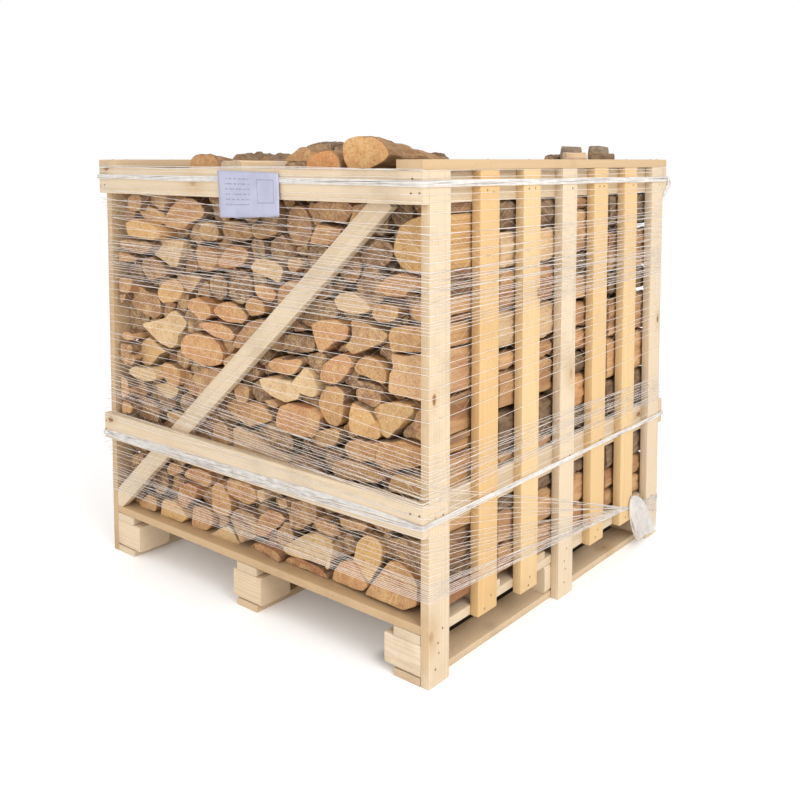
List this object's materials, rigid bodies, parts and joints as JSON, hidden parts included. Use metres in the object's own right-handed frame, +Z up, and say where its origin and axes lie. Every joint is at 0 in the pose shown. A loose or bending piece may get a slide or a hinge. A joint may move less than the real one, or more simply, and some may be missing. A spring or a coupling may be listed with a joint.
{
  "type": "firewood crate",
  "caption": "Slatted softwood crate on its own pallet, filled with stacked split alder firewood and wrapped in a knitted net.",
  "frame": {"origin": "middle of the crate's footprint, on the floor", "axes": "+Z up; +X to the right along the front, where the log ends show; +Y from the front to the back, along the logs"},
  "size_m": [1.1447, 1.1539, 1.1612],
  "materials": {
    "pale_board": "raw sawn softwood, pale cream",
    "yellow_board": "raw sawn softwood, yellow",
    "block_wood": "raw sawn softwood block",
    "alder": "split and sawn alder, orange brown",
    "bark": "rough grey brown bark",
    "net": "white knitted pallet net",
    "paper": "pale printed label"
  },
  "bodies": {
    "root": {"block_left_back": "block_wood", "block_left_front": "block_wood", "block_left_middle": "block_wood", "block_middle_back": "block_wood", "block_middle_front": "block_wood", "block_middle_middle": "block_wood", "block_right_back": "block_wood", "block_right_front": "block_wood", "block_right_middle": "block_wood", "brace_back": "pale_board", "brace_front": "pale_board", "cap_board_left": "pale_board", "cap_board_right": "pale_board", "deck_board_1": "pale_board", "deck_board_2": "pale_board", "deck_board_3": "pale_board", "deck_board_4": "pale_board", "deck_board_5": "pale_board", "deck_board_6": "pale_board", "log_row_back": "alder", "log_row_front": "alder", "log_row_second": "alder", "log_row_third": "alder", "middle_rail_back": "pale_board", "middle_rail_front": "pale_board", "net_middle_band": "net", "net_top_band": "net", "offcut_1": "bark", "offcut_2": "bark", "paper_label": "paper", "post_left_back": "pale_board", "post_left_front": "pale_board", "post_left_middle": "pale_board", "post_right_back": "pale_board", "post_right_front": "pale_board", "post_right_middle": "pale_board", "side_middle_rail_left": "pale_board", "side_middle_rail_right": "pale_board", "side_top_rail_left": "pale_board", "side_top_rail_right": "pale_board", "skid_board_left": "pale_board", "skid_board_middle": "pale_board", "skid_board_right": "pale_board", "slat_left_1": "yellow_board", "slat_left_2": "yellow_board", "slat_left_3": "yellow_board", "slat_left_4": "yellow_board", "slat_right_1": "yellow_board", "slat_right_2": "yellow_board", "slat_right_3": "yellow_board", "slat_right_4": "yellow_board", "stringer_board_left": "pale_board", "stringer_board_middle": "pale_board", "stringer_board_right": "pale_board", "top_log_1": "alder", "top_log_2": "alder", "top_log_3": "alder", "top_log_4": "alder", "top_rail_back": "pale_board", "top_rail_front": "pale_board"}
  },
  "joints": []
}
